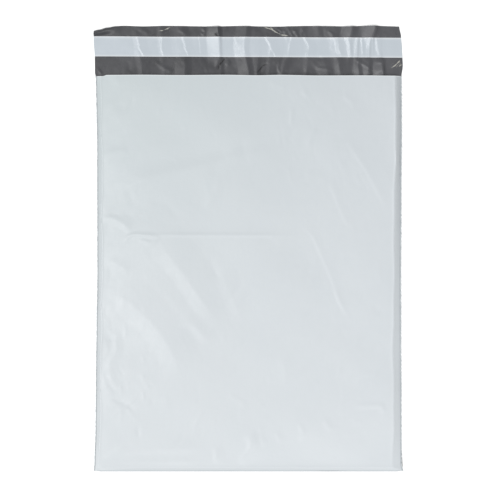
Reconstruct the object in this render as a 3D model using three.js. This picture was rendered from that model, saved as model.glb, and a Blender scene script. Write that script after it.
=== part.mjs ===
// A poly mailer: a shipping bag folded from one strip of thin plastic film, lying open and empty.
// The strip is folded once, at the bottom, and its sides are welded by a hot knife. The back panel
// runs on past the mouth as the closing flap. The flap's inner face carries a strip of hot-melt
// adhesive under a peel-off release liner.
// Millimetres. X runs across the bag, +Y from the bottom fold to the flap, +Z up from the surface
// that the back panel lies on. The origin is on that surface, at the middle of the footprint.
import * as THREE from "three";

// The film
const FILM = 0.06; // thickness
const WIDTH = 256.5; // across the flap
const FRONT_LENGTH = 329; // bottom fold to mouth
const FLAP_LENGTH = 41.4; // mouth to the end of the flap
const WELD = 1; // width of the fused band along each side

// The air left in the pocket, which lifts the front panel off the back one
const LIFT = 5.6; // at the middle of the panel
const SIDE_SHOULDER = 18; // how far in from a weld the panel keeps rising
const FOLD_SHOULDER = 30; // how far up from the bottom fold it keeps rising
const PULL_LEFT = 2.7; // how far the lifted panel draws each side in, half-way up
const PULL_RIGHT = 1.4;
const PULL_POWER = 2.5; // a higher power keeps the drawn-in stretch straighter

// The closure, on the flap's inner face
const LINER_WIDTH = 16.6;
const LINER_FILM = 0.05;
const LINER_TO_FLAP_END = 9.2; // the bare film beyond the liner
const ADHESIVE_WIDTH = 12;
const ADHESIVE_DEPTH = 0.04;
const CLOSURE_SLANT = 1.2; // how much lower the strip lies at its right end

// How finely the film is divided
const ACROSS = 26; // columns between the two welds
const UP = 26; // rows between the bottom fold and the mouth
const FLAP_ROWS = 3;
const FOLD_STEPS = 4; // facets round the outside of the bottom fold

const LENGTH = FRONT_LENGTH + FLAP_LENGTH;
const BOTTOM = -LENGTH / 2;
const MOUTH = BOTTOM + FRONT_LENGTH;
const FLAP_END = LENGTH / 2;
const FOLD = BOTTOM + FILM; // the inside of the bottom fold, where the two panels part
const COLUMNS = ACROSS + 3; // the outer edge and the inner edge of each weld are columns too

// The side edge at this height: straight along the flap, drawn in along the pocket.
function sideEdge(side, y) {
  const along = THREE.MathUtils.clamp((y - BOTTOM) / FRONT_LENGTH, 0, 1);
  const pull = side < 0 ? PULL_LEFT : PULL_RIGHT;
  return side * (WIDTH / 2 - pull * (1 - Math.abs(2 * along - 1) ** PULL_POWER));
}

// Column 0 and the last one are the cut edges, the next ones in are the welds' inner edges, and
// the rest crowd towards the welds, where the panel bends most.
function columnX(column, y) {
  const left = sideEdge(-1, y);
  const right = sideEdge(1, y);
  if (column === 0) return left;
  if (column === COLUMNS - 1) return right;
  const across = (1 - Math.cos((Math.PI * (column - 1)) / ACROSS)) / 2;
  return THREE.MathUtils.lerp(left + WELD, right - WELD, across);
}

function isWeld(column) {
  return column < 2 || column > COLUMNS - 3;
}

// 0 at an edge that holds the panel down, rising to 1 where the shoulder ends.
function shoulder(distance, reach) {
  const left = 1 - Math.min(distance / reach, 1);
  return 1 - left * left;
}

// How far the front panel stands off the back panel.
function liftAt(column, y) {
  if (isWeld(column)) return 0;
  const x = columnX(column, y);
  const fromSide = Math.min(x - sideEdge(-1, y), sideEdge(1, y) - x) - WELD;
  return LIFT * shoulder(fromSide, SIDE_SHOULDER) * shoulder(y - FOLD, FOLD_SHOULDER);
}

// Heights up the pocket, from the fold to the mouth, closer together near the fold.
function pocketRows() {
  return Array.from({ length: UP + 1 }, (_, row) => {
    const along = 1 - Math.cos((Math.PI / 2) * (row / UP));
    return THREE.MathUtils.lerp(FOLD, MOUTH, THREE.MathUtils.lerp(row / UP, along, 0.7));
  });
}

// A closed mesh under construction: shared points, and faces wound to point out.
class Shell {
  points = [];
  faces = [];

  add(x, y, z) {
    this.points.push(x, y, z);
    return this.points.length / 3 - 1;
  }

  row(y, heightAt) {
    return Array.from({ length: COLUMNS }, (_, column) =>
      this.add(columnX(column, y), y, heightAt(column)),
    );
  }

  face(a, b, c) {
    if (a !== b && b !== c && c !== a) this.faces.push(a, b, c);
  }

  quad(a, b, c, d) {
    this.face(a, b, c);
    this.face(a, c, d);
  }

  geometry() {
    const made = new THREE.BufferGeometry();
    made.setAttribute("position", new THREE.Float32BufferAttribute(this.points, 3));
    made.setIndex(this.faces);
    made.computeVertexNormals();
    return made;
  }
}

// The film as one strip. outer and inner are its two faces as rows of points, paired one to one
// from the flap's end, along the back, round the fold and up the front to the mouth.
function filmGeometry() {
  const shell = new Shell();
  const outer = [];
  const inner = [];

  const flap = Array.from({ length: FLAP_ROWS }, (_, row) =>
    THREE.MathUtils.lerp(FLAP_END, MOUTH, row / FLAP_ROWS),
  );
  const pocket = pocketRows();
  for (const y of [...flap, ...pocket.toReversed()]) {
    outer.push(shell.row(y, () => 0));
    inner.push(shell.row(y, () => FILM));
  }

  const foldInside = inner.at(-1);
  for (let step = 1; step < FOLD_STEPS; step++) {
    const turn = (Math.PI * step) / FOLD_STEPS;
    const y = FOLD - FILM * Math.sin(turn);
    outer.push(shell.row(y, () => FILM - FILM * Math.cos(turn)));
    inner.push(foldInside);
  }

  const backRow = new Map(pocket.map((y, row) => [y, inner[FLAP_ROWS + UP - row]]));
  for (const y of pocket) {
    const back = backRow.get(y);
    outer.push(shell.row(y, (column) => 2 * FILM + liftAt(column, y)));
    // The front panel shares the back panel's points at the fold and where it is welded.
    inner.push(
      back.map((point, column) =>
        y === FOLD || isWeld(column)
          ? point
          : shell.add(columnX(column, y), y, FILM + liftAt(column, y)),
      ),
    );
  }

  const last = COLUMNS - 1;
  for (let row = 0; row + 1 < outer.length; row++) {
    const next = row + 1;
    const welded = row >= FLAP_ROWS;
    for (let column = 0; column < last; column++) {
      const right = column + 1;
      const fused = welded && (column === 0 || right === last);
      shell.quad(outer[row][column], outer[row][right], outer[next][right], outer[next][column]);
      if (fused || inner[row] === inner[next]) continue;
      shell.quad(inner[row][column], inner[next][column], inner[next][right], inner[row][right]);
    }
    shell.quad(outer[row][0], outer[next][0], inner[next][0], inner[row][0]);
    shell.quad(outer[row][last], inner[row][last], inner[next][last], outer[next][last]);
  }

  const mouthOuter = outer.at(-1);
  const mouthInner = inner.at(-1);
  for (let column = 0; column < last; column++) {
    const right = column + 1;
    shell.quad(outer[0][right], outer[0][column], inner[0][column], inner[0][right]);
    shell.quad(mouthOuter[column], mouthOuter[right], mouthInner[right], mouthInner[column]);
  }
  return shell.geometry();
}

// A flat strip across the flap, cut off flush with the film's sides by the same hot knife.
function stripGeometry(width, depth) {
  const half = WIDTH / 2;
  const drop = CLOSURE_SLANT / 2;
  const outline = new THREE.Shape();
  outline.moveTo(-half, drop - width / 2);
  outline.lineTo(half, -drop - width / 2);
  outline.lineTo(half, -drop + width / 2);
  outline.lineTo(-half, drop + width / 2);
  outline.closePath();
  return new THREE.ExtrudeGeometry(outline, { depth, bevelEnabled: false });
}

function piece(name, geometry, colour, roughness) {
  const material = new THREE.MeshStandardMaterial({ color: colour, roughness, metalness: 0 });
  const made = new THREE.Mesh(geometry, material);
  made.name = name;
  return made;
}

function closure() {
  const group = new THREE.Group();
  group.position.set(0, FLAP_END - LINER_TO_FLAP_END - LINER_WIDTH / 2, FILM);
  const adhesive = piece("adhesive_strip", stripGeometry(ADHESIVE_WIDTH, ADHESIVE_DEPTH), 0xe6dfc8, 0.3);
  const liner = piece("release_liner", stripGeometry(LINER_WIDTH, LINER_FILM), 0xc6ced4, 0.35);
  liner.position.z = ADHESIVE_DEPTH;
  group.add(adhesive, liner);
  return group;
}

const mailer = new THREE.Group();
mailer.add(piece("film_bag", filmGeometry(), 0xdfe4e7, 0.4), closure());
export default mailer;
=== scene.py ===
"""The looks of an empty poly mailer that lies flat: film, side welds, adhesive and release liner.

Shapes are worked out in millimetres in the part's own frame and turned into metres last of all.
"""
import math

import bpy
import numpy as np
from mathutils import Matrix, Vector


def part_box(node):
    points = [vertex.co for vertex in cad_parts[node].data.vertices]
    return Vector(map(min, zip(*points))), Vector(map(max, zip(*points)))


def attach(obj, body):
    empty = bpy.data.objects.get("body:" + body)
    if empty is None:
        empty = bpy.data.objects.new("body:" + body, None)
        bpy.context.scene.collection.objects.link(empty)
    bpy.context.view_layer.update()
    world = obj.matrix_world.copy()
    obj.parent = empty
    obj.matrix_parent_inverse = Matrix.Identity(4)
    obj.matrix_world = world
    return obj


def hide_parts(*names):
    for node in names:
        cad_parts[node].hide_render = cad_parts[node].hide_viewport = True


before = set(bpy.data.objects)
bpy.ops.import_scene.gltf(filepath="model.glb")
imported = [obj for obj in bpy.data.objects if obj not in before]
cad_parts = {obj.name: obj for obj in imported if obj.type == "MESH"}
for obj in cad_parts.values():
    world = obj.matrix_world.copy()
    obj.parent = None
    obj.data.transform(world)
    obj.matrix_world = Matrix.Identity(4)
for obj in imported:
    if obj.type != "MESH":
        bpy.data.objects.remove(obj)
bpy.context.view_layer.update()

MM = 0.001

# ---------------------------------------------------------------------------------------------
# Sizes, in millimetres
# ---------------------------------------------------------------------------------------------
FILM = 0.06
film_low, film_high = (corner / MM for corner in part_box("film_bag"))
BOTTOM = film_low.y
FLAP_END = film_high.y
MOUTH = BOTTOM + 329.0
LIFT = film_high.z - 2 * FILM
LINER_FILM = 0.05
ADHESIVE_DEPTH = 0.04
LINER_MARGIN = 2.3  # bare liner beyond the adhesive, at each of its long edges
WELD = 1.0  # the fused band along each side
FLAP_SIDE = 128.5  # how far the flap's sides are from the middle
FOLD_RADIUS = 0.5  # of the bottom fold, away from the welds
THIN = FILM + 0.02  # the least room that one layer of film takes up

# The outline, as (height up the bag, distance across it), a little uneven as the knife left it
LEFT_EDGE = [
    (-185.2, -128.4), (-178, -127.9), (-150, -127.0), (-109, -126.7), (-60, -126.1), (-30, -125.5),
    (90, -125.7), (115, -126.2), (141, -126.7), (147, -127.7), (160, -127.8), (173, -128.7),
    (185.2, -128.6),
]
RIGHT_EDGE = [
    (-185.2, 128.4), (-178, 127.2), (-130, 127.2), (-84, 126.9), (-20, 126.8), (50, 127.1),
    (100, 127.5), (143, 127.3), (152, 128.4), (167, 127.8), (176, 127.0), (185.2, 125.4),
]
# The flap's end, as (distance across, height up the bag); its left corner droops
FLAP_END_LINE = [
    (-129, 181.2), (-124, 182.2), (-117, 183.7), (-109, 185.0), (-103, 185.4), (-88, 184.9),
    (-66, 185.3), (-30, 184.8), (-8, 185.2), (24, 184.7), (50, 185.2), (84, 184.9), (104, 185.4),
    (129, 184.8),
]
LINER_TOP = [(-129, 176.6), (-60, 176.2), (0, 176.1), (70, 175.6), (129, 175.4)]
LINER_BOTTOM = [(-129, 160.0), (-60, 159.7), (0, 159.4), (70, 159.2), (129, 158.9)]
MOUTH_LINE = [
    (-129, 143.5), (-122, 143.4), (-118.5, 144.4), (-90, 144.5), (-55, 144.2), (-20, 144.4),
    (8, 144.0), (26, 144.3), (60, 143.8), (95, 143.9), (129, 143.6),
]


# ---------------------------------------------------------------------------------------------
# Curves and folds
# ---------------------------------------------------------------------------------------------
def smoothstep(t):
    t = np.clip(t, 0, 1)
    return t * t * (3 - 2 * t)


def ramp(at, start, end):
    """0 at the start, 1 at the end and beyond, smooth between."""
    return smoothstep((at - start) / (end - start))


def through(at, points):
    """A smooth line through given (place, value) points."""
    places, values = np.array(points, float).T
    at = np.asarray(at, float)
    i = np.clip(np.searchsorted(places, at) - 1, 0, len(places) - 2)
    return values[i] + (values[i + 1] - values[i]) * smoothstep(
        (at - places[i]) / (places[i + 1] - places[i])
    )


def rounded(points, steps=6):
    """A Catmull-Rom curve through the points."""
    p = np.array(points, float)
    if len(p) == 2:
        return p
    p = np.vstack([2 * p[0] - p[1], p, 2 * p[-1] - p[-2]])
    t = np.linspace(0, 1, steps, endpoint=False)[:, None]
    curve = []
    for a, b, c, d in zip(p, p[1:], p[2:], p[3:]):
        square = 2 * a - 5 * b + 4 * c - d
        cube = 3 * b - a - 3 * c + d
        curve.append(0.5 * (2 * b + (c - a) * t + square * t**2 + cube * t**3))
    return np.vstack([*curve, p[-2]])


def beside(x, y, curve):
    """How far each place is from a curve, signed (left of it is positive), and how far along."""
    best = np.full(x.shape, np.inf)
    signed = np.zeros(x.shape)
    along = np.zeros(x.shape)
    lengths = np.hypot(*np.diff(curve, axis=0).T)
    total = lengths.sum()
    start = 0.0
    for a, b, length in zip(curve, curve[1:], lengths):
        ux, uy = (b - a) / length
        t = np.clip((x - a[0]) * ux + (y - a[1]) * uy, 0, length)
        dx = x - a[0] - t * ux
        dy = y - a[1] - t * uy
        distance = dx * dx + dy * dy
        nearer = distance < best
        best = np.where(nearer, distance, best)
        signed = np.where(nearer, np.sign(ux * dy - uy * dx) * np.sqrt(distance), signed)
        along = np.where(nearer, (start + t) / total, along)
        start += length
    return signed, along


def fold(x, y, points, height, left, right, sharp=1.5, blunt=0.35, ends=0.3):
    """A crease along a curve: a crest of this height, whose flanks are left and right wide."""
    signed, along = beside(x, y, rounded(points))
    reach = np.where(signed > 0, left, right)
    flank = np.clip(1 - (np.hypot(signed, blunt) - blunt) / reach, 0, 1)
    taper = smoothstep(along / ends) * smoothstep((1 - along) / ends) if ends else 1.0
    return height * flank**sharp * taper


def waves(x, y, seed, count, shortest, longest, height):
    """Gentle unevenness: sine waves in many directions."""
    rng = np.random.default_rng(seed)
    total = np.zeros(x.shape)
    for _ in range(count):
        turn, phase = rng.uniform(0, 2 * math.pi, 2)
        length = rng.uniform(shortest, longest)
        k = 2 * math.pi / length
        total += length * np.sin(k * (x * math.cos(turn) + y * math.sin(turn)) + phase)
    return height * total / (count**0.5 * longest)


def crumples(x, y, seed, count, area, length, height, width, lean=None):
    """Many short faint creases in a region (x0, y0, x1, y1)."""
    rng = np.random.default_rng(seed)
    total = np.zeros(x.shape)
    for _ in range(count):
        cx = rng.uniform(area[0], area[2])
        cy = rng.uniform(area[1], area[3])
        turn = rng.uniform(0, math.pi) if lean is None else rng.normal(lean, 0.35)
        reach = length * rng.uniform(0.4, 1.2)
        bend = rng.uniform(-0.15, 0.15) * reach
        dx = math.cos(turn) * reach / 2
        dy = math.sin(turn) * reach / 2
        middle = (cx - dy / reach * bend * 2, cy + dx / reach * bend * 2)
        points = [(cx - dx, cy - dy), middle, (cx + dx, cy + dy)]
        h = height * rng.uniform(-1, 1)
        w = width * rng.uniform(0.6, 1.6)
        near = (abs(x - cx) < reach / 2 + 2 * w) & (abs(y - cy) < reach / 2 + 2 * w)
        if near.any():
            total[near] += fold(x[near], y[near], points, h, w, w * rng.uniform(0.5, 1.5))
    return total


# ---------------------------------------------------------------------------------------------
# The front panel's shape
# ---------------------------------------------------------------------------------------------
# (points, height, flank on the left, flank on the right, sharpness), left and right as one goes
# along the points
FRONT_FOLDS = [
    # the ridge across the middle, where the bag was once folded over
    ([(-96, 12.0), (-60, 11.2), (-10, 11.0), (54, 11.0), (70, 11.0)], 0.26, 8, 22, 1.6),
    ([(-92, 11.8), (-60, 11.2), (-10, 11.0), (38, 11.0)], 0.22, 2.5, 1.9, 1.2),
    # the kinks at the left edge beside it
    ([(-126, 30.2), (-119, 29.0), (-112, 28.8), (-102, 25.5)], -0.26, 1.8, 2.0, 1.2),
    ([(-126, 26.0), (-117, 24.8), (-109, 22.6), (-100, 17.0), (-95, 13.6)], 0.62, 9, 3.6, 1.2),
    ([(-105, 3), (-99.5, 10), (-94, 11.6), (-84, 11), (-71, 9.6)], 0.42, 3, 2.2, 1.4),
    ([(-93, 7.6), (-87, 6.2), (-80, 4.6), (-73, 9.3)], 0.25, 2.5, 2, 1.4),
    ([(-120, -9), (-108, -14), (-98, -21)], 0.28, 7, 4, 1.3),
    # broad soft rolls on the left half
    ([(-79, 7), (-70.5, -1), (-58, -16), (-44.5, -35), (-31.5, -53), (-22, -66)],
     0.68, 23, 10, 1.1),
    ([(-60, -60), (-47, -63), (-38, -72), (-30, -80)], 0.30, 10, 5, 1.2),
    ([(-124, -46), (-107, -41), (-90, -53), (-74, -70), (-63, -88), (-55, -110)],
     0.80, 22, 12.5, 1.1),
    ([(-24, -17), (-14, -40), (-4, -63)], 0.22, 12, 7, 1.2),
    # thin creases on the right half
    ([(37, 24), (44, 19), (53, 11), (60, -4), (67, -19.5), (75, -40), (82, -58)],
     0.16, 7, 2.2, 1.6),
    ([(70, -31), (76.5, -46), (84, -57)], 0.20, 3.5, 1.8, 1.5),
    ([(76, 96), (85, 84), (96, 68), (105, 52), (113, 38), (123, 31)], 0.20, 8, 2.4, 1.6),
    ([(64, 60), (72, 44), (80, 25), (92, 12)], 0.16, 7, 2.4, 1.5),
    ([(35.8, 118), (35.3, 102)], 0.20, 3.5, 2.2, 1.4),
    ([(43, 132), (52, 125)], 0.20, 4, 2.2, 1.4),
    ([(77, 128), (90, 118.5)], 0.22, 5, 2.4, 1.4),
    # long shallow arcs below the mouth
    ([(-124, 65), (-78, 71.8), (-31, 80), (7, 87.6), (33, 103)], -0.26, 12, 18, 1.2),
    ([(-112, 54), (-76, 59), (-31, 71), (7, 80), (33, 85)], 0.30, 8, 8, 1.3),
    ([(-124, 31), (-105, 46.9), (-75, 61.5), (-40, 70)], 0.24, 10, 6, 1.3),
    ([(-124, 74), (-112, 80), (-98, 82)], 0.25, 5, 5, 1.3),
    # rumples along the left side
    ([(-123, -62), (-113, -70), (-110, -84), (-116, -96), (-113.5, -110), (-100, -123)],
     0.30, 6.5, 3.2, 1.2),
    ([(-122, -98), (-118, -116), (-109, -122)], 0.35, 4, 4, 1.3),
    ([(-124, -78), (-116, -74), (-110, -77)], -0.40, 4, 4, 1.3),
    ([(-115, -124), (-103, -128), (-93, -134.5)], -0.38, 2.4, 3, 1.3),
    ([(-92, -147), (-91, -157)], -0.20, 2.2, 3, 1.3),
    # rumples along the bottom
    ([(-127, -181.5), (-117, -174), (-102.5, -169.2), (-66, -166.3), (-34, -166.4)],
     0.45, 12, 4.5, 1.3),
    ([(-110, -176.5), (-70, -177), (-38, -176)], 0.22, 4, 4, 1.3),
    ([(-29.5, -164.5), (-26.5, -171), (-28, -179)], 0.36, 8, 3.4, 1.3),
    ([(-5, -154), (1.5, -160), (1, -167), (-4, -173), (-9, -180)], 0.42, 9, 4, 1.3),
    ([(9.5, -154.5), (13.5, -164)], 0.18, 4, 2.2, 1.4),
    ([(23, -152), (27, -162)], 0.18, 4, 2.2, 1.4),
    ([(40.5, -145.5), (45.5, -153), (40, -158.5)], 0.26, 4, 2.4, 1.4),
    ([(62, -142), (70, -152)], 0.22, 5, 3, 1.4),
    ([(84, -130.8), (98, -130.6), (109, -130.4), (112, -134), (115, -142)], 0.28, 3.2, 2.4, 1.5),
    ([(86, -143.5), (96, -144)], 0.16, 2.5, 2, 1.5),
    ([(88, -110), (96, -104), (104, -103)], 0.16, 4, 3, 1.4),
]
# Scattered faint creases: (seed, count, area, length, height, width, and a lean if they share one)
FRONT_CRUMPLES = [
    (5, 70, (-122, -182, 122, 142), 30, 0.16, 5.0),
    (6, 150, (-124, -183, 124, 143), 13, 0.06, 2.4),
    (8, 60, (25, 45, 122, 140), 24, 0.07, 1.9, -1.0),
    (9, 40, (40, -165, 122, -70), 14, 0.07, 1.8),
    (10, 34, (-124, -150, -78, -40), 16, 0.15, 2.0, 2.1),
]
FRONT_WAVES = (11, 9, 26, 90, 0.30)  # seed, count, shortest, longest, height
LEFT_RISE, LEFT_REACH = 2.0, 2.8  # the steep band along the left weld: how high, how wide
RIGHT_RISE, RIGHT_REACH = 3.6, 4.9  # along the right one
FOLD_RISE, FOLD_REACH = 1.5, 2.4  # and along the bottom fold
RIGHT_EXTRA = 0.60  # the share by which the right band is higher from RIGHT_TOP up
RIGHT_START, RIGHT_TOP = -40, 135
RIGHT_NARROWS = 750  # it narrows by one part in this for each millimetre up the bag
# How those bands' widths wander: (share of the width, length over 2 pi, phase)
LEFT_WOBBLE = [(0.14, 11.0, 2), (0.10, 5.7, 0)]
RIGHT_WOBBLE = [(0.07, 17.0, 0), (0.05, 7.1, 1)]
BAND_POWER = 0.9  # under 1, a band is a little steeper at its foot
RIDGE, RIDGE_WIDTH = 0.22, 0.4  # the ridge where a band ends, and its width in bands
SIDE_ROLL, FOLD_ROLL = 42, 36  # how gently the panel goes on rising beyond the bands
DROOP, DROOP_REACH = 2.2, 40  # how far the panel sinks towards its free edge, the mouth
RELIEF_SIDE, RELIEF_FOLD = 12, 8  # how far from a weld and the fold the relief is whole
EDGE_SHARE, EDGE_REACH = 0.25, 2.5  # a share of it is there already this far from a side


def bulge(distance, rise, steep_reach, reach):
    """Height beside an edge that holds the panel down, from 0 at the edge to LIFT far from it."""
    t = distance / steep_reach
    steep = np.clip(t, 0, 1) ** BAND_POWER
    ridge = RIDGE * np.clip(1 - abs(t - 1) / RIDGE_WIDTH, 0, 1)
    beyond = 1 - np.exp(-np.clip(distance, 0, None) / reach)
    return rise * steep + ridge + (LIFT - rise) * beyond


def wobble(y, parts):
    """By what share a band's width differs at each height."""
    return sum(share * np.sin(y / length + phase) for share, length, phase in parts)


def panel_height(x, y, left, right):
    """The lifted panel's smooth shape, held down at the welds and the fold, not at the mouth."""
    left_reach = LEFT_REACH * (1 + wobble(y, LEFT_WOBBLE))
    right_reach = RIGHT_REACH * (1 - y / RIGHT_NARROWS + wobble(y, RIGHT_WOBBLE))
    right_rise = RIGHT_RISE * (1 + RIGHT_EXTRA * ramp(y, RIGHT_START, RIGHT_TOP))
    from_left = bulge(x - left - WELD, LEFT_RISE, left_reach, SIDE_ROLL)
    from_right = bulge(right - WELD - x, right_rise, right_reach, SIDE_ROLL)
    from_fold = bulge(y - BOTTOM - FOLD_RADIUS, FOLD_RISE, FOLD_REACH, FOLD_ROLL)
    sunk = DROOP * np.exp((y - MOUTH) / DROOP_REACH)
    return np.clip(from_left * from_right / LIFT**2 * (from_fold - sunk), 0, None)


def front_relief(x, y):
    """The front panel's creases, rolls and rumples."""
    relief = waves(x, y, *FRONT_WAVES)
    for scatter in FRONT_CRUMPLES:
        relief += crumples(x, y, *scatter)
    for points, crest, on_left, on_right, sharp in FRONT_FOLDS:
        relief += fold(x, y, points, crest, on_left, on_right, sharp)
    return relief


def front_height(x, y, left, right):
    """How far the front panel stands off the back one."""
    from_side = np.minimum(x - left, right - x)
    inside = smoothstep((from_side - WELD) / RELIEF_SIDE) * smoothstep((y - BOTTOM) / RELIEF_FOLD)
    share = EDGE_SHARE * smoothstep(from_side / EDGE_REACH) + (1 - EDGE_SHARE) * inside
    return panel_height(x, y, left, right) + front_relief(x, y) * share


# ---------------------------------------------------------------------------------------------
# The flap's shape
# ---------------------------------------------------------------------------------------------
# Pleats across the flap: where the crest is at the flap's end, at the liner's middle and at the
# mouth, how wide its left and right flanks are, and how high it stands at those three places.
PLEATS = [
    ((-94, -91, -88), (4, 7), (0.15, 0.20, 0.30)),
    ((-73, -72.3, -70), (3, 7), (0.20, 0.15, 0.14)),
    ((-55, -52, -53), (8, 5), (0.20, 0.15, 1.1)),
    ((-25, -24.0, -22.5), (10.5, 2.0), (2.5, 1.3, 0.25)),
    ((-1.0, -3.4, 0.8), (9, 4.0), (1.0, 1.0, 1.2)),
    ((8, 9, 7.5), (5.5, 2.2), (0.10, 0.05, 1.3)),
    ((14, 18.8, 17.5), (3, 6), (0.15, 0.20, 0.25)),
    ((33, 33.5, 28), (3, 5), (0.10, 0.10, 0.65)),
    ((46, 49.5, 48.5), (3, 7), (0.25, 0.15, 0.40)),
    ((58, 60, 66), (9, 8), (0.75, 0.10, 0.60)),
    ((67, 73.0, 76.5), (6, 6), (0.50, 0.45, 0.60)),
    ((86.5, 84.5, 82), (10, 4), (2.0, 0.55, 0.30)),
    ((91, 89.5, 92), (3, 3), (0.20, 0.30, 0.70)),
    ((106, 101, 100), (14, 2.6), (2.6, 0.55, 1.00)),
    ((108, 109, 112.0), (14, 2.2), (0.20, 0.30, 1.5)),
]
# Short sharp creases on the bare film: (points, height, flank on the left, flank on the right)
FLAP_FOLDS = [
    ([(-19, 158.8), (-22.5, 155), (-26, 148.5)], -0.55, 1.2, 1.8),
    ([(-15, 156.5), (-18.5, 152)], 0.30, 1.2, 2.0),
    ([(17, 155), (12, 152), (7.5, 145)], -0.60, 1.3, 1.8),
    ([(26.5, 157), (25, 150), (27, 145)], 0.30, 1.4, 1.6),
    ([(-27.5, 179), (-25, 177.4)], -0.60, 1.0, 1.2),
    ([(38, 181), (41, 178)], 0.30, 1.2, 1.2),
    ([(46, 184), (43, 177)], 0.30, 1.5, 1.5),
    ([(66, 181), (72, 177)], 0.35, 1.5, 1.5),
    ([(55, 150), (66, 149), (72, 147)], 0.30, 2.0, 1.4),
    ([(88, 158), (96, 153), (103, 148)], 0.40, 2.2, 1.6),
    ([(99, 150), (104, 146)], -0.35, 1.4, 1.4),
    ([(112.8, 143.5), (112.0, 151), (112.4, 159.5)], 1.35, 9.5, 1.1),
    ([(102.5, 143.5), (100, 151), (101.5, 159.5)], 0.95, 7, 2.6),
    ([(92.5, 145), (91, 152), (93.5, 159.5)], 0.55, 6, 2.6),
    ([(77.0, 144), (75.5, 152), (78, 159)], 0.50, 5, 2.6),
    ([(118, 150), (124, 156)], 0.30, 1.2, 1.2),
    ([(-79, 157), (-70, 150), (-60, 146)], 0.16, 2.6, 2.2),
    ([(-127, 151), (-121.5, 144.5)], 0.45, 1.6, 2.2),
    ([(-92, 184), (-82, 178)], 0.20, 3.0, 2.6),
    ([(-60, 183), (-50, 178)], 0.20, 2.6, 2.2),
    ([(-38, 184.5), (-36.5, 180), (-39.5, 177)], 0.40, 3.4, 1.6),
]
# Thin ridges in the liner: crest at its top, middle and bottom, flanks, height
LINER_RIDGES = [
    ((-92.2, -90.6, -87), (1.1, 7), 0.27),
    ((-71.8, -72.2, -70.5), (1.1, 8), 0.27),
    ((-54.4, -52.4, -49.5), (1.1, 7), 0.25),
    ((-41, -39.8, -39.3), (1.0, 6), 0.10),
    ((-11, -8.6, -9), (1.3, 5), 0.16),
    ((-4.2, -3.6, -2.9), (1.1, 5), 0.16),
    ((14.6, 18.8, 22.5), (1.2, 7), 0.26),
    ((18.0, 18.6, 17.6), (1.0, 5), 0.12),
    ((36, 34.4, 33.3), (1.3, 6), 0.22),
    ((46.6, 50.4, 48.9), (1.1, 7), 0.30),
    ((74.3, 75.4, 77.4), (3.6, 4.5), 0.55),
    ((82.8, 84.6, 85.6), (2.8, 2.4), 0.46),
    ((91.0, 90.6, 90.2), (3.2, 1.6), 0.56),
    ((94.0, 94.8, 95.4), (1.1, 1.8), 0.27),
    ((101.4, 100.6, 100.2), (2.3, 1.2), 0.50),
    ((103.6, 103.6, 103.8), (1.1, 0.9), 0.20),
    ((106.4, 107.4, 109.0), (1.5, 7), 0.40),
]
FLAP_AREA = (-125, 140, 125, 186)
FLAP_CRUMPLES = [  # as for the front panel
    (21, 70, FLAP_AREA, 12, 0.26, 3.8, math.pi / 2),
    (22, 90, FLAP_AREA, 9, 0.15, 1.8),
]
SMALL_CRUMPLES = (23, 16, (24, 177, 42, 183), 4.5, 0.60, 1.0)  # close together in one small place
FLAP_WAVES = (31, 8, 14, 60, 0.22)
FLAP_LOFT = 0.25  # how far the loose flap stands off the floor, on the average
FLAP_SHARP, FLAP_BLUNT = 1.2, 0.25
PLEAT_SHARP, PLEAT_BLUNT, LINER_BLUNT = 1.08, 0.3, 0.15
PLEATS_END = 30  # how far below the mouth a pleat has run out
CALM = 0.45  # how strong the scattered creases are at the flap's left end
LIVELY = 0.75  # and how much stronger they are at its right end
CALM_END, LIVELY_START = -70, 50  # where across the flap they are so
STUCK = 0.85  # how much of them the adhesive and the liner keep out of the film
RIM = 0.5  # how far beyond the liner's edges it keeps them out
LOFT_SIDES, CREASE_SIDES = (45, 12), (11, 8)  # how far in from each side these are whole
BACK_FLAT, BACK_WHOLE = 18, 1  # how far below the mouth the film lies flat, and is still creased

# The flap's left corner: how far across a ridge starts and how long it is, how far below the
# flap's end it finishes, and how high it stands
CORNER_START, CORNER_LENGTH, CORNER_DROP, CORNER_HEIGHT = -104, 24, 2.6, 2.4


def pleat_height(x, y, crests, flanks, heights):
    """One pleat: it runs from the flap's end to the mouth and fades out in the pocket."""
    middle = (LINER_TOP[2][1] + LINER_BOTTOM[2][1]) / 2
    stations = [MOUTH - PLEATS_END, MOUTH, middle, FLAP_END]
    crest = through(y, list(zip(stations, (crests[2], *reversed(crests)))))
    height = through(y, list(zip(stations, (0.0, *reversed(heights)))))
    return height * ridge_across(x - crest, flanks, PLEAT_BLUNT)


def ridge_across(offset, flanks, blunt):
    """A ridge 1 high, with a blunted crest and these widths to its left and right."""
    reach = np.where(offset < 0, *flanks)
    return np.clip(1 - (np.hypot(offset, blunt) - blunt) / reach, 0, 1) ** PLEAT_SHARP


def liner_ridges(x, y):
    """How far the liner's own thin ridges lift it off the adhesive."""
    top = through(0.0, LINER_TOP)
    low = through(0.0, LINER_BOTTOM)
    stations = [low, (top + low) / 2, top]
    total = np.zeros(x.shape)
    for crests, flanks, height in LINER_RIDGES:
        crest = through(y, list(zip(stations, reversed(crests))))
        total = np.maximum(total, height * ridge_across(x - crest, flanks, LINER_BLUNT))
    return total


def flap_creases(x, y):
    """The flap's pleats, its short creases and its scattered ones."""
    relief = sum(pleat_height(x, y, *pleat) for pleat in PLEATS)
    for points, height, on_left, on_right in FLAP_FOLDS:
        relief = relief + fold(x, y, points, height, on_left, on_right, FLAP_SHARP, FLAP_BLUNT)
    loose = 1 - STUCK * under_liner(x, y)
    strength = CALM + LIVELY * ramp(x, CALM_END, LIVELY_START)
    scattered = sum(crumples(x, y, *scatter) for scatter in FLAP_CRUMPLES)
    small = crumples(x, y, *SMALL_CRUMPLES)
    return relief + loose * strength * scattered + loose * small


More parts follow.
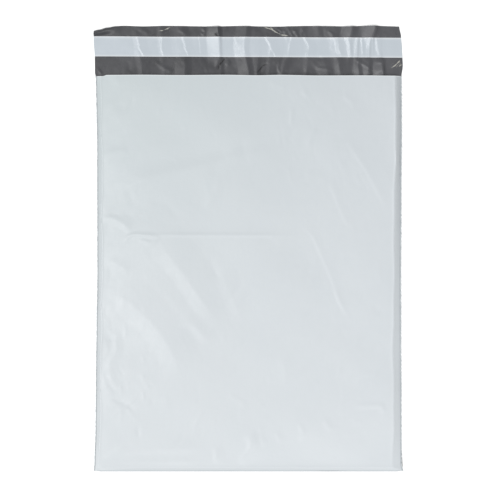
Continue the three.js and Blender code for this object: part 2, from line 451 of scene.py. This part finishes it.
def flap_height(x, y):
    """How far the back film's underside stands off the floor: the flap, and the panel below it."""
    loft = FLAP_LOFT + waves(x, y, *FLAP_WAVES)
    relief = np.clip(flap_creases(x, y) + off_sides(x, *LOFT_SIDES) * loft, 0, None)
    relief = relief * off_sides(x, *CREASE_SIDES) * ramp(y, MOUTH - BACK_FLAT, MOUTH - BACK_WHOLE)
    return relief + corner_height(x, y)


def off_sides(x, left, right):
    """0 at the flap's sides, rising to 1 these distances in from the left and the right one."""
    return smoothstep((x + FLAP_SIDE) / left) * smoothstep((FLAP_SIDE - x) / right)


def under_liner(x, y):
    """1 where the liner and its adhesive hold the flap smooth, 0 on the bare film."""
    top = through(x, LINER_TOP)
    low = through(x, LINER_BOTTOM)
    fade = 3 * RIM
    return smoothstep((y - low + RIM) / fade) * smoothstep((top - y + RIM) / fade)


def corner_height(x, y):
    """The flap's left corner: bent down again beyond a ridge that runs up to the flap's end."""
    toward = np.clip((CORNER_START - x) / CORNER_LENGTH, 0, 1)
    ridge = through(x, FLAP_END_LINE) - CORNER_DROP * toward
    liner_top = through(x, LINER_TOP)
    rise = smoothstep((y - liner_top) / (ridge - liner_top))
    fall = 1 - np.clip((y - ridge) / CORNER_DROP, 0, 1) ** 1.2
    return CORNER_HEIGHT * smoothstep(toward * 1.6) * rise * fall


# ---------------------------------------------------------------------------------------------
# Grids
# ---------------------------------------------------------------------------------------------
def spread(low, high, count, crowds):
    """count places from low to high, more of them near each crowd: (centre, width, strength)."""
    fine = np.linspace(low, high, 4000)
    density = 1.0
    for centre, width, strength in crowds:
        density = density + strength * np.exp(-(((fine - centre) / width) ** 2))
    weight = np.concatenate([[0], np.cumsum((density[1:] + density[:-1]) / 2)])
    return np.interp(np.linspace(0, weight[-1], count), weight, fine)


COLUMN_PAIRS = 146
ACROSS = spread(0, 1, 2 * COLUMN_PAIRS + 1, [(0, 0.025, 1.0), (1, 0.025, 1.0)])
FLAP_ROWS_OVER = 10  # rows on the bare film beyond the liner
FLAP_ROWS_BELOW = 15  # and between the liner and the mouth
FLAP_MIDDLE = 165.0  # the height at which the flap's columns are placed
GLUE_ROWS = 9  # rows on the adhesive
OUTER_ROW = 0.28  # where on the liner's bare margin its one row is
BACK_ROWS = 16
BACK_CROWDS = [(MOUTH, 14, 12)]
FRONT_ROWS = 180  # an even number
FRONT_CROWDS = [(BOTTOM, 6, 2.0), (11, 5, 2.0), (MOUTH, 3, 2.5)]  # fold, packing crease, mouth
FOLD_STEPS = 6
FOLD_OPENS = 6  # how far from a weld the bottom fold has opened to its radius
FOLD_FADE = 4  # how far up the bag the room inside the fold fades away
LIP_ROWS = 6  # how many rows below the mouth the front panel keeps its true thickness


def liner_fractions():
    """Rows across the liner, from its lower edge; the adhesive's edges are on two of them."""
    margin = LINER_MARGIN / (through(0.0, LINER_TOP) - through(0.0, LINER_BOTTOM))
    outer = margin * OUTER_ROW
    inner = np.linspace(margin, 1 - margin, GLUE_ROWS)
    return np.concatenate([[0, outer], inner, [1 - outer, 1]])


def columns_at(y):
    left = through(y, LEFT_EDGE)
    right = through(y, RIGHT_EDGE)
    return left + ACROSS * (right - left)


def flap_rows():
    """The flap's heights as rows from its end to the mouth, parallel to the liner's edges."""
    x = columns_at(np.full(ACROSS.shape, FLAP_MIDDLE))
    lines = (FLAP_END_LINE, LINER_TOP, LINER_BOTTOM, MOUTH_LINE)
    end, top, low, mouth = (through(x, line) for line in lines)
    over = [end + (top - end) * f for f in np.linspace(0, 1, FLAP_ROWS_OVER, endpoint=False)]
    under = [low + (top - low) * f for f in liner_fractions()[::-1]]
    below = [low + (mouth - low) * f for f in np.linspace(0, 1, FLAP_ROWS_BELOW + 1)[1:]]
    return np.array(over + under + below)


def pocket_rows(mouth, count, crowds):
    """Heights from above the bottom fold to the mouth, as rows that bend towards its line."""
    heights = spread(BOTTOM, MOUTH, count, crowds)
    fraction = ((heights - BOTTOM) / (MOUTH - BOTTOM))[:, None]
    return BOTTOM + FOLD_RADIUS + (mouth - BOTTOM - FOLD_RADIUS) * fraction


SHARP_ANGLE = 50  # edges that turn by more than this many degrees stay sharp


class Sheet:
    """A closed thin sheet: an outer and an inner face as rows of points, with a rim round them.

    Rows run from left to right. A row, or the rows of a section, may have half as many steps as
    those that it meets, where less detail will do.
    """

    def __init__(self):
        self.points = []
        self.count = 0
        self.faces = ([], [], [])  # outer face, inner face, rim
        self.rows = [None, None]
        self.first = None

    def add(self, row):
        start = self.count
        self.points.append(row)
        self.count += len(row)
        return np.arange(start, self.count)

    def strip(self, a, b, kind, turned=False):
        """Triangles between two lines of points, split along the same diagonals everywhere."""
        if len(a) < len(b):
            a, b, turned = b, a, not turned
        if len(a) == len(b):
            made = [(a[:-1], a[1:], b[1:]), (a[:-1], b[1:], b[:-1])]
        else:
            left, middle, right = a[:-1:2], a[1::2], a[2::2]
            made = [(left, middle, b[:-1]), (middle, b[1:], b[:-1]), (middle, right, b[1:])]
        faces = np.concatenate([np.stack(corners, -1) for corners in made])
        self.faces[kind].append(faces[:, ::-1] if turned else faces)

    def section(self, outer, inner):
        """Adds rows to both faces, joined to the rows before them and rimmed at both sides."""
        lines = []
        for kind, rows in ((0, outer), (1, inner)):
            made = [self.add(row) for row in rows]
            if self.rows[kind] is not None:
                made.insert(0, self.rows[kind])
            for above, below in zip(made, made[1:]):
                self.strip(above, below, kind, turned=kind == 1)
            self.rows[kind] = made[-1]
            lines.append((np.array([row[0] for row in made]), np.array([row[-1] for row in made])))
        if self.first is None:
            self.first = (np.arange(len(outer[0])), np.arange(len(inner[0])) + sum(map(len, outer)))
        (outer_left, outer_right), (inner_left, inner_right) = lines
        self.strip(outer_left, inner_left, 2)
        self.strip(outer_right, inner_right, 2, turned=True)

    def close(self, name, outside, inside):
        """Rims the two ends and makes the object, with its materials."""
        self.strip(*self.first, 2, turned=True)
        self.strip(*self.rows, 2)
        kinds = [np.concatenate(faces) for faces in self.faces]
        mesh = smooth_mesh(name, np.concatenate(self.points), np.concatenate(kinds).tolist())
        mesh.set_sharp_from_angle(angle=math.radians(SHARP_ANGLE))
        for material in (outside, inside):
            mesh.materials.append(material)
        slots = np.repeat([0, 1, 0], [len(faces) for faces in kinds])
        mesh.polygons.foreach_set("material_index", slots.astype(np.int32))
        return add_object(name, mesh)


def add_object(name, data):
    made = bpy.data.objects.new(name, data)
    bpy.context.scene.collection.objects.link(made)
    return made


def smooth_mesh(name, points, faces):
    """A smooth mesh from points in millimetres."""
    mesh = bpy.data.meshes.new(name)
    mesh.from_pydata((points * MM).tolist(), [], faces)
    mesh.update()
    mesh.polygons.foreach_set("use_smooth", [True] * len(mesh.polygons))
    return mesh


def stacked(x, y, z):
    """Points from their coordinates."""
    return np.stack(np.broadcast_arrays(x, y, z), -1)


def lowest_near(z):
    """The lowest of each point and its neighbours, in both directions."""
    for axis in (0, 1):
        padded = np.concatenate([z.take([0], axis), z, z.take([-1], axis)], axis)
        before = padded.take(range(z.shape[axis]), axis)
        after = padded.take(range(2, z.shape[axis] + 2), axis)
        z = np.minimum(z, np.minimum(before, after))
    return z


def back_faces(y):
    """The outer and the inner face of the film that lies on the floor, at these heights."""
    x = columns_at(y)
    z = flap_height(x, y)
    return stacked(x, y, z), stacked(x, y, z + FILM)


def fold_faces(x, radius):
    """The two faces round the bottom fold, from the back panel to the front one."""
    turns = (math.pi * np.arange(1, FOLD_STEPS) / FOLD_STEPS)[:, None]
    return [
        stacked(x, BOTTOM + FOLD_RADIUS - bend * np.sin(turns), radius - bend * np.cos(turns))
        for bend in (radius, radius - FILM)
    ]


def front_faces(y, radius):
    """The front panel's two faces; the inner one is kept under every dip of the outer one."""
    x = columns_at(y)
    base = 2 * THIN + 2 * (radius - THIN) * np.exp(-(y - BOTTOM) / FOLD_FADE)
    z = base + front_height(x, y, x[:, :1], x[:, -1:])
    z = np.maximum(z, -lowest_near(-flap_height(x, y)) + 2 * THIN)
    below_lip = smoothstep(np.linspace(FRONT_ROWS, 1, FRONT_ROWS) / LIP_ROWS)[:, None]
    under = z + (lowest_near(z) - z) * below_lip - FILM
    return stacked(x, y, z), stacked(x, y, np.maximum(under, THIN * 0.8))


def film_sheet():
    """The film, from the flap's end to the mouth by way of the bottom fold."""
    sheet = Sheet()
    flap_y = flap_rows()
    flap, flap_inner = back_faces(flap_y)
    sheet.section(flap, flap_inner)

    mouth = flap_y[-1]
    back, back_inner = back_faces(pocket_rows(mouth, BACK_ROWS + 1, BACK_CROWDS)[-2::-1])
    sheet.section(back[:, ::2], back_inner[:, ::2])

    x = columns_at(np.full(ACROSS.shape, BOTTOM))
    opened = smoothstep(np.minimum(x - x[0], x[-1] - x) / FOLD_OPENS)
    radius = THIN + (FOLD_RADIUS - THIN) * opened
    bend, bend_inner = fold_faces(x, radius)
    sheet.section(bend, bend_inner[:, ::2])

    front, front_inner = front_faces(pocket_rows(mouth, FRONT_ROWS, FRONT_CROWDS), radius)
    sheet.section(front, front_inner[1::2, ::2])
    return sheet, flap_inner


# ---------------------------------------------------------------------------------------------
# Materials
# ---------------------------------------------------------------------------------------------
class Finish:
    """A Principled material under construction, with its nodes made in a line."""

    def __init__(self, name, colour, roughness):
        self.material = bpy.data.materials.new(name)
        self.material.use_nodes = True
        self.tree = self.material.node_tree
        self.shader = self.tree.nodes["Principled BSDF"]
        self.shader.inputs["Base Color"].default_value = (*colour, 1)
        self.shader.inputs["Roughness"].default_value = roughness
        self.place = self.node("ShaderNodeTexCoord").outputs["Object"]

    def node(self, kind, **values):
        """A node with these properties, or these numbers on its sockets."""
        made = self.tree.nodes.new(kind)
        for key, value in values.items():
            if hasattr(made, key):
                setattr(made, key, value)
            else:
                made.inputs[key.replace("_", " ")].default_value = value
        return made

    def link(self, source, target):
        self.tree.links.new(source, target)

    def stretched(self, x, y, z):
        mapping = self.node("ShaderNodeMapping")
        mapping.inputs["Scale"].default_value = (x, y, z)
        self.link(self.place, mapping.inputs["Vector"])
        return mapping.outputs["Vector"]

    def split_place(self):
        made = self.node("ShaderNodeSeparateXYZ")
        self.link(self.place, made.inputs["Vector"])
        return made.outputs

    def noise(self, scale, detail=3.0, where=None, rough=0.55):
        made = self.node("ShaderNodeTexNoise", Scale=scale, Detail=detail, Roughness=rough)
        self.link(where or self.place, made.inputs["Vector"])
        return made.outputs["Fac"]

    def ranged(self, value, low, high, start=0.3, end=0.7):
        """low where value is start or less, high where it is end or more."""
        made = self.node("ShaderNodeMapRange")
        made.inputs["From Min"].default_value = start
        made.inputs["From Max"].default_value = end
        made.inputs["To Min"].default_value = low
        made.inputs["To Max"].default_value = high
        self.link(value, made.inputs["Value"])
        return made.outputs["Result"]

    def mixed(self, fraction, first, second):
        made = self.node("ShaderNodeMix", data_type="RGBA")
        self.link(fraction, made.inputs["Factor"])
        for socket, colour in ((made.inputs[6], first), (made.inputs[7], second)):
            if isinstance(colour, tuple):
                socket.default_value = (*colour, 1)
            else:
                self.link(colour, socket)
        return made.outputs[2]

    def maths(self, operation, *values):
        made = self.node("ShaderNodeMath", operation=operation)
        for value, socket in zip(values, made.inputs):
            self.link(value, socket)
        return made.outputs["Value"]

    def attribute(self, name):
        return self.node("ShaderNodeAttribute", attribute_name=name).outputs["Fac"]

    def bump(self, height, distance, strength=1.0, over=None):
        """A bump of this depth in millimetres, on top of another bump if there is one."""
        made = self.node("ShaderNodeBump", Strength=strength)
        made.inputs["Distance"].default_value = distance * MM
        self.link(height, made.inputs["Height"])
        if over:
            self.link(over, made.inputs["Normal"])
        return made.outputs["Normal"]

    def finish(self, colour=None, roughness=None, normal=None):
        for value, socket in ((colour, "Base Color"), (roughness, "Roughness"), (normal, "Normal")):
            if value:
                self.link(value, self.shader.inputs[socket])
        return self.material


# Colours, linear. The white film's are at its left and at its right side; those at the mouth are
# greyer as painted shade.
WHITE_BELOW = ((0.530, 0.562, 0.582), (0.556, 0.588, 0.612))
WHITE_SHADED_AT_MOUTH = ((0.462, 0.512, 0.524), (0.512, 0.546, 0.572))
WHITE_CLOUD = (0.40, 0.46, 0.50)
# grey of the weld lines, also used as painted shade by the right weld and painted shadow along the
# bottom fold
FUSED_AND_SHADED = (0.30, 0.33, 0.35)
# a painted highlight along the front panel's lip at the mouth
LIP_HIGHLIGHT = (0.66, 0.69, 0.70)
DARK = ((0.032, 0.033, 0.037), (0.051, 0.052, 0.058))
DARK_TOWARDS_RIGHT = (0.066, 0.067, 0.074)
# painted shade, near black, in some creases of the flap
PAINTED_CREASE_SHADE = (0.006, 0.006, 0.007)
WHITENED = (0.375, 0.37, 0.335)
LINER = ((0.436, 0.483, 0.522), (0.455, 0.498, 0.540))
# a painted highlight along the liner's long edges
LINER_EDGE_HIGHLIGHT = (0.70, 0.72, 0.74)
GLUE = ((0.70, 0.64, 0.46), (0.76, 0.71, 0.54))
BEAD = ((0.42, 0.45, 0.47), (0.78, 0.80, 0.81))
PAPER = ((0.955, 0.955, 0.955), (0.965, 0.965, 0.965))


def white_film():
    """The outer face: opaque white film with a satin sheen, greyer towards the mouth as painted
    shade.
    """
    make = Finish("white_film", (0.48, 0.52, 0.54), 0.3)
    place = make.split_place()
    # painted shade: the white film's colour greys towards the mouth
    shade_upward = make.ranged(place["Y"], 0, 1, -0.05, 0.16)
    across = make.ranged(place["X"], 0, 1, -0.12, 0.12)
    below = make.mixed(across, *WHITE_BELOW)
    shaded_at_mouth = make.mixed(across, *WHITE_SHADED_AT_MOUTH)
    colour = make.mixed(shade_upward, below, shaded_at_mouth)
    cloud = make.ranged(make.noise(11, 4), 0, 0.10)
    colour = make.mixed(cloud, colour, WHITE_CLOUD)
    # weld lines, painted shade by the right weld and painted shadow along the bottom fold
    colour = make.mixed(make.attribute("seam_and_shade"), colour, FUSED_AND_SHADED)
    # a painted highlight along the lip
    colour = make.mixed(make.attribute("lip_highlight"), colour, LIP_HIGHLIGHT)
    roughness = make.ranged(make.noise(140, 3), 0.30, 0.40)
    drawn = make.noise(420, 2, make.stretched(1.0, 0.18, 1.0))
    normal = make.bump(make.noise(170, 2), 0.14, 0.5)
    normal = make.bump(drawn, 0.04, 0.5, normal)
    return make.finish(colour, roughness, normal)


def crease_line(make, name, narrow, wide):
    """How strongly a marked crease shows here: a broken line whose half-width, in millimetres,
    wanders between narrow and wide."""
    width = make.ranged(make.noise(420, 2), narrow, wide)
    ratio = make.maths("DIVIDE", make.maths("ABSOLUTE", make.attribute(name + "_offset")), width)
    line = make.ranged(ratio, 1, 0, 0.4, 1.3)
    return make.maths("MULTIPLY", line, make.attribute(name + "_near"))


def dark_film():
    """The inner face: dark grey, with pale marks where a crease has whitened it, and black painted
    shade in some creases.
    """
    make = Finish("dark_film", (0.052, 0.054, 0.060), 0.28)
    cloud = make.noise(60, 3)
    colour = make.mixed(make.ranged(cloud, 0, 1), *DARK)
    # the dark film is a little lighter towards the right side
    rightward = make.ranged(make.split_place()["X"], 0, 1, -0.02, 0.12)
    colour = make.mixed(rightward, colour, DARK_TOWARDS_RIGHT)
    # painted shade: some creases are painted black
    colour = make.mixed(crease_line(make, "shaded_crease", 0.30, 0.75), colour, PAINTED_CREASE_SHADE)
    colour = make.mixed(crease_line(make, "worn", 0.05, 0.65), colour, WHITENED)
    roughness = make.ranged(make.noise(120, 3), 0.27, 0.40)
    normal = make.bump(make.noise(90, 2), 0.34, 0.5)
    normal = make.bump(make.noise(520, 2), 0.02, 0.5, normal)
    return make.finish(colour, roughness, normal)


def liner_film():
    make = Finish("liner_film", (0.43, 0.48, 0.52), 0.22)
    cloud = make.noise(30, 2)
    colour = make.mixed(make.ranged(cloud, 0, 1), *LINER)
    # a painted highlight along the liner's edges
    colour = make.mixed(make.attribute("liner_edge_highlight"), colour, LINER_EDGE_HIGHLIGHT)
    roughness = make.ranged(make.noise(260, 3), 0.16, 0.26)
    normal = make.bump(make.noise(140, 2), 0.12, 0.5)
    return make.finish(colour, roughness, normal)


def adhesive_glue():
    make = Finish("adhesive_glue", (0.72, 0.66, 0.48), 0.25)
    colour = make.mixed(make.ranged(make.noise(120, 3), 0, 1), *GLUE)
    normal = make.bump(make.noise(400, 3), 0.05, 0.6)
    return make.finish(colour, None, normal)


def weld_bead():
    make = Finish("weld_bead", (0.62, 0.66, 0.68), 0.35)
    colour = make.mixed(make.ranged(make.noise(330, 3), 0, 1), *BEAD)
    normal = make.bump(make.noise(900, 3), 0.08, 0.6)
    return make.finish(colour, None, normal)


# ---------------------------------------------------------------------------------------------
# Pieces
# ---------------------------------------------------------------------------------------------
# Creases sharp enough to have whitened the dark film, and creases painted black as shade
WORN = [
    [(-75, 181.2), (-71, 181.6), (-68, 182.8), (-64.4, 184.6)],
    [(12.6, 184.4), (17.5, 182.8), (21, 181.4), (25, 179.0), (29.5, 176.7)],
    [(17.8, 184.6), (22.5, 180.2), (27, 178.6)],
    [(27, 177.6), (30, 177.6), (33.5, 177.0)],
    [(126.4, 157.0), (122.6, 153.0), (118.4, 150.0)],
    [(127.5, 153.2), (125, 151.6)],
]
SHADED_CREASES = [
    [(-19.6, 158.2), (-22.2, 155.0), (-24.9, 152.8)],
    [(-22.6, 155.2), (-24.0, 152.2), (-25.6, 148.6)],
    [(15.8, 153.8), (12.6, 152.6), (10.6, 150.6), (6.4, 145.2)],
    [(11.4, 151.8), (9.2, 147.4)],
    [(-29.0, 178.9), (-27.0, 178.4), (-25.6, 176.6)],
]
MARK_REACH, MARK_FADE = 3.0, 1.5  # how far beside such a crease its mark is worked out
RIGHT_WELD_SHADE = 0.32  # how strongly painted shade darkens the film beside the right weld, towards the mouth
RIGHT_SHADE_START, RIGHT_SHADE_TOP, RIGHT_SHADE_FADE = -60, 100, 1.6  # up the bag, and across it
LIP_FLOOR = 0.5  # only film that stands higher than this is at the front panel's lip


def places(piece):
    """The coordinates of a piece's points, in millimetres."""
    points = np.zeros(len(piece.data.vertices) * 3)
    piece.data.vertices.foreach_get("co", points)
    return (points.reshape(-1, 3) / MM).T


def add_attribute(piece, name, values):
    attribute = piece.data.attributes.new(name, "FLOAT", "POINT")
    attribute.data.foreach_set("value", values.astype(np.float32))


def mark_creases(piece, name, curves):
    """Gives each place its distance from the nearest of these creases, and 1 only near them."""
    x, y, _ = places(piece)
    offset = np.full(x.shape, MARK_REACH)
    near = np.zeros(x.shape)
    for curve in curves:
        signed, along = beside(x, y, rounded(curve))
        ends = smoothstep(along / 0.15) * smoothstep((1 - along) / 0.3)
        closer = abs(signed) < abs(offset)
        offset = np.where(closer, signed, offset)
        near = np.where(closer, ends * smoothstep((MARK_REACH - abs(signed)) / MARK_FADE), near)
    add_attribute(piece, name + "_offset", offset)
    add_attribute(piece, name + "_near", near)


def edge_mark(distance, strength, fade):
    """1 near an edge and 0 where the distance from it is strength times fade."""
    return np.clip(strength - distance / fade, 0, 1)


def painted_right_shade(x, y):
    """Painted shade on the steep band by the right weld, growing stronger up the bag towards the
    mouth.
    """
    from_right = through(y, RIGHT_EDGE) - x
    across = smoothstep((RIGHT_REACH - from_right) / RIGHT_SHADE_FADE)
    return RIGHT_WELD_SHADE * across * ramp(y, RIGHT_SHADE_START, RIGHT_SHADE_TOP)


def mark_film(piece):
    """Marks whitened creases, creases painted black as shade, the weld lines that the hot knife
    left, painted shade by the right weld, painted shadow along the bottom fold, and a painted
    highlight along the lip.
    """
    x, y, z = places(piece)
    mark_creases(piece, "worn", WORN)
    # creases painted black as shade
    mark_creases(piece, "shaded_crease", SHADED_CREASES)

    from_side = np.minimum(x - through(y, LEFT_EDGE), through(y, RIGHT_EDGE) - x)
    # weld lines along the sides, with painted shade on the steep band by the right weld
    sides = np.maximum(edge_mark(from_side, 1.4, 0.9), painted_right_shade(x, y)) * (y < MOUTH + 0.5)
    # painted shadow along the bottom fold
    bottom = edge_mark(y - BOTTOM, 1.2, 0.6)
    add_attribute(piece, "seam_and_shade", np.maximum(sides, bottom))

    # a painted highlight along the front panel's lip
    from_mouth = abs(through(x, MOUTH_LINE) - y)
    add_attribute(piece, "lip_highlight", edge_mark(from_mouth, 1.3, 0.55) * (z > LIP_FLOOR))


def make_bag():
    sheet, flap_inner = film_sheet()
    film = sheet.close("mailer_film", white_film(), dark_film())
    mark_film(film)
    return film, flap_inner


def slab(name, low, high, material):
    """A closed strip between two grids of points, one above the other."""
    sheet = Sheet()
    sheet.section(low, high)
    return sheet.close(name, material, material)


def halved(rows):
    """Rows with a point added half-way along each step."""
    made = np.repeat(rows, 2, 1)[:, :-1]
    made[:, 1::2] = (rows[:, 1:] + rows[:, :-1]) / 2
    return made


BARE_ROWS = 2  # the rows at each edge of the liner that have no adhesive under them
GLUE_GAP, LINER_GAP = 0.004, 0.006  # hairline gaps, so that no two faces share a plane


def free_edge(x, fractions):
    """How far the liner's bare margins stand off the film, a little unevenly along the strip."""
    margin = fractions[-1 - BARE_ROWS]
    free = np.clip(1 - np.minimum(fractions, 1 - fractions) / margin, 0, 1)
    ripple = 0.10 + 0.08 * np.sin(x / 6.3) * np.sin(x / 17.0 + 1) + 0.05 * np.sin(x / 3.1 + 2)
    return free[:, None] ** 1.3 * ripple


def make_closure(flap_inner):
    """The adhesive and its liner, built on the flap's own rows so that they follow its pleats."""
    up = np.array([0, 0, 1.0])
    fractions = liner_fractions()[::-1]
    rows = flap_inner[FLAP_ROWS_OVER:FLAP_ROWS_OVER + len(fractions)]
    bed = rows[BARE_ROWS:-BARE_ROWS]
    glue = slab(
        "adhesive_layer", bed + up * GLUE_GAP, bed + up * ADHESIVE_DEPTH, adhesive_glue()
    )
    rows = halved(rows)
    x, y = rows[..., 0], rows[..., 1]
    lift = ADHESIVE_DEPTH + LINER_GAP + free_edge(x, fractions) + liner_ridges(x, y)
    under = rows + up * lift[..., None]
    liner = slab("liner_strip", under, under + up * LINER_FILM, liner_film())
    x, y, _ = places(liner)
    from_edge = np.minimum(through(x, LINER_TOP) - y, y - through(x, LINER_BOTTOM))
    # a painted highlight along the liner's edges
    add_attribute(liner, "liner_edge_highlight", edge_mark(from_edge, 1.25, 0.65))
    return glue, liner


BEAD_STEP = 0.7  # between the bead's rings, along the weld
BEAD_SIDES = 8
BEAD_PITCH = 3.1  # from lump to lump
BEAD_RADIUS = 0.24  # between lumps
LEFT_LUMP, RIGHT_LUMP = 0.14, 0.32  # how much thicker the lumps are
RAGGED, ASTRAY = 0.03, 0.12  # how far its radius and its line wander from ring to ring


def bead_rings(side):
    """Each ring's radius and its place across and along the bag."""
    rng = np.random.default_rng(7 + side)
    y = np.arange(BOTTOM + 0.4, MOUTH, BEAD_STEP)
    lumps = 0.5 + 0.5 * np.sin(2 * math.pi * y / BEAD_PITCH + 1.5 * np.sin(y / 23) + side)
    lump = (LEFT_LUMP if side < 0 else RIGHT_LUMP) * lumps**2 * (0.75 + 0.25 * np.sin(y / 9))
    radius = BEAD_RADIUS + lump + rng.uniform(-RAGGED, RAGGED, y.shape)
    edge = through(y, LEFT_EDGE if side < 0 else RIGHT_EDGE)
    x = edge + side * (0.05 + rng.uniform(-ASTRAY, ASTRAY, y.shape))
    return radius, x, y


def make_weld(name, side):
    """The bead that the hot knife leaves along a side: a thin rope of lumps, closed at its ends."""
    radius, x, y = bead_rings(side)
    turn = np.arange(BEAD_SIDES) * 2 * math.pi / BEAD_SIDES
    ring_x = x[:, None] + radius[:, None] * np.cos(turn)
    ring_z = np.maximum(radius[:, None] * (1 + np.sin(turn)), 0)
    rings = stacked(ring_x, y[:, None], ring_z).reshape(-1, 3)
    tips = stacked(x[[0, -1]], y[[0, -1]], radius[[0, -1]])

    corner = np.arange(len(rings)).reshape(-1, BEAD_SIDES)
    beside_it = np.roll(corner, -1, 1)
    walls = np.stack([corner[:-1], beside_it[:-1], beside_it[1:], corner[1:]], -1)
    faces = walls.reshape(-1, 4).tolist()
    tip = len(rings)
    faces += [(tip, after, k) for k, after in zip(corner[0].tolist(), beside_it[0].tolist())]
    faces += [(tip + 1, k, after) for k, after in zip(corner[-1].tolist(), beside_it[-1].tolist())]
    mesh = smooth_mesh(name, np.concatenate([rings, tips]), faces)
    mesh.materials.append(weld_bead())
    return add_object(name, mesh)


film, flap_inner = make_bag()
glue, liner = make_closure(flap_inner)
weld_left = make_weld("side_weld_left", -1)
weld_right = make_weld("side_weld_right", 1)

for piece, node, slot in (
    (film, "film_bag", "bag_film"),
    (weld_left, "film_bag", "bag_film"),
    (weld_right, "film_bag", "bag_film"),
    (glue, "adhesive_strip", "adhesive"),
    (liner, "release_liner", "liner"),
):
    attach(piece, "root")
    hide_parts(node)

# ---------------------------------------------------------------------------------------------
# Floor, light and camera
# ---------------------------------------------------------------------------------------------
# Metres, watts
FLOOR_HALF, FLOOR_DROP = 6.0, 2e-5
WORLD_STRENGTH = 0.68
SENSOR, LENS, CLIP_END = 36, 173.1, 20  # the first two in millimetres
CAMERA_PLACE = (1.3 * MM, -1.1 * MM, 2.0)


def add_floor():
    h = FLOOR_HALF
    corners = [(x, y, -FLOOR_DROP) for x, y in ((-h, -h), (h, -h), (h, h), (-h, h))]
    mesh = bpy.data.meshes.new("floor")
    mesh.from_pydata(corners, [], [(0, 1, 2, 3)])
    make = Finish("floor_paper", (0.96, 0.96, 0.96), 0.9)
    mesh.materials.append(make.finish(make.mixed(make.ranged(make.noise(3, 2), 0, 1), *PAPER)))
    floor = add_object("floor", mesh)


def add_softbox(name, place, size, power):
    """A rectangular light that faces the middle of the bag."""
    light = bpy.data.lights.new(name, "AREA")
    light.shape = "RECTANGLE"
    light.size, light.size_y = size
    light.energy = power
    lamp = add_object(name, light)
    lamp.location = place
    lamp.rotation_euler = lamp.location.to_track_quat("Z", "Y").to_euler()


def add_world():
    world = bpy.data.worlds.new("studio")
    bpy.context.scene.world = world
    world.use_nodes = True
    background = world.node_tree.nodes["Background"]
    background.inputs["Color"].default_value = (1, 1, 1, 1)
    background.inputs["Strength"].default_value = WORLD_STRENGTH


def add_camera():
    """Straight above the bag, looking down."""
    data = bpy.data.cameras.new("camera")
    data.sensor_width = SENSOR
    data.lens = LENS
    data.clip_end = CLIP_END
    camera = add_object("camera", data)
    camera.location = CAMERA_PLACE
    bpy.context.scene.camera = camera


add_floor()
add_world()
add_softbox("left_strip", place=(-2.75, -0.50, 4.80), size=(2.2, 4.6), power=138)
add_softbox("front_strip", place=(0.2, -1.14, 2.10), size=(1.9, 0.8), power=15.5)
add_camera()
bpy.context.scene.view_settings.view_transform = "Standard"
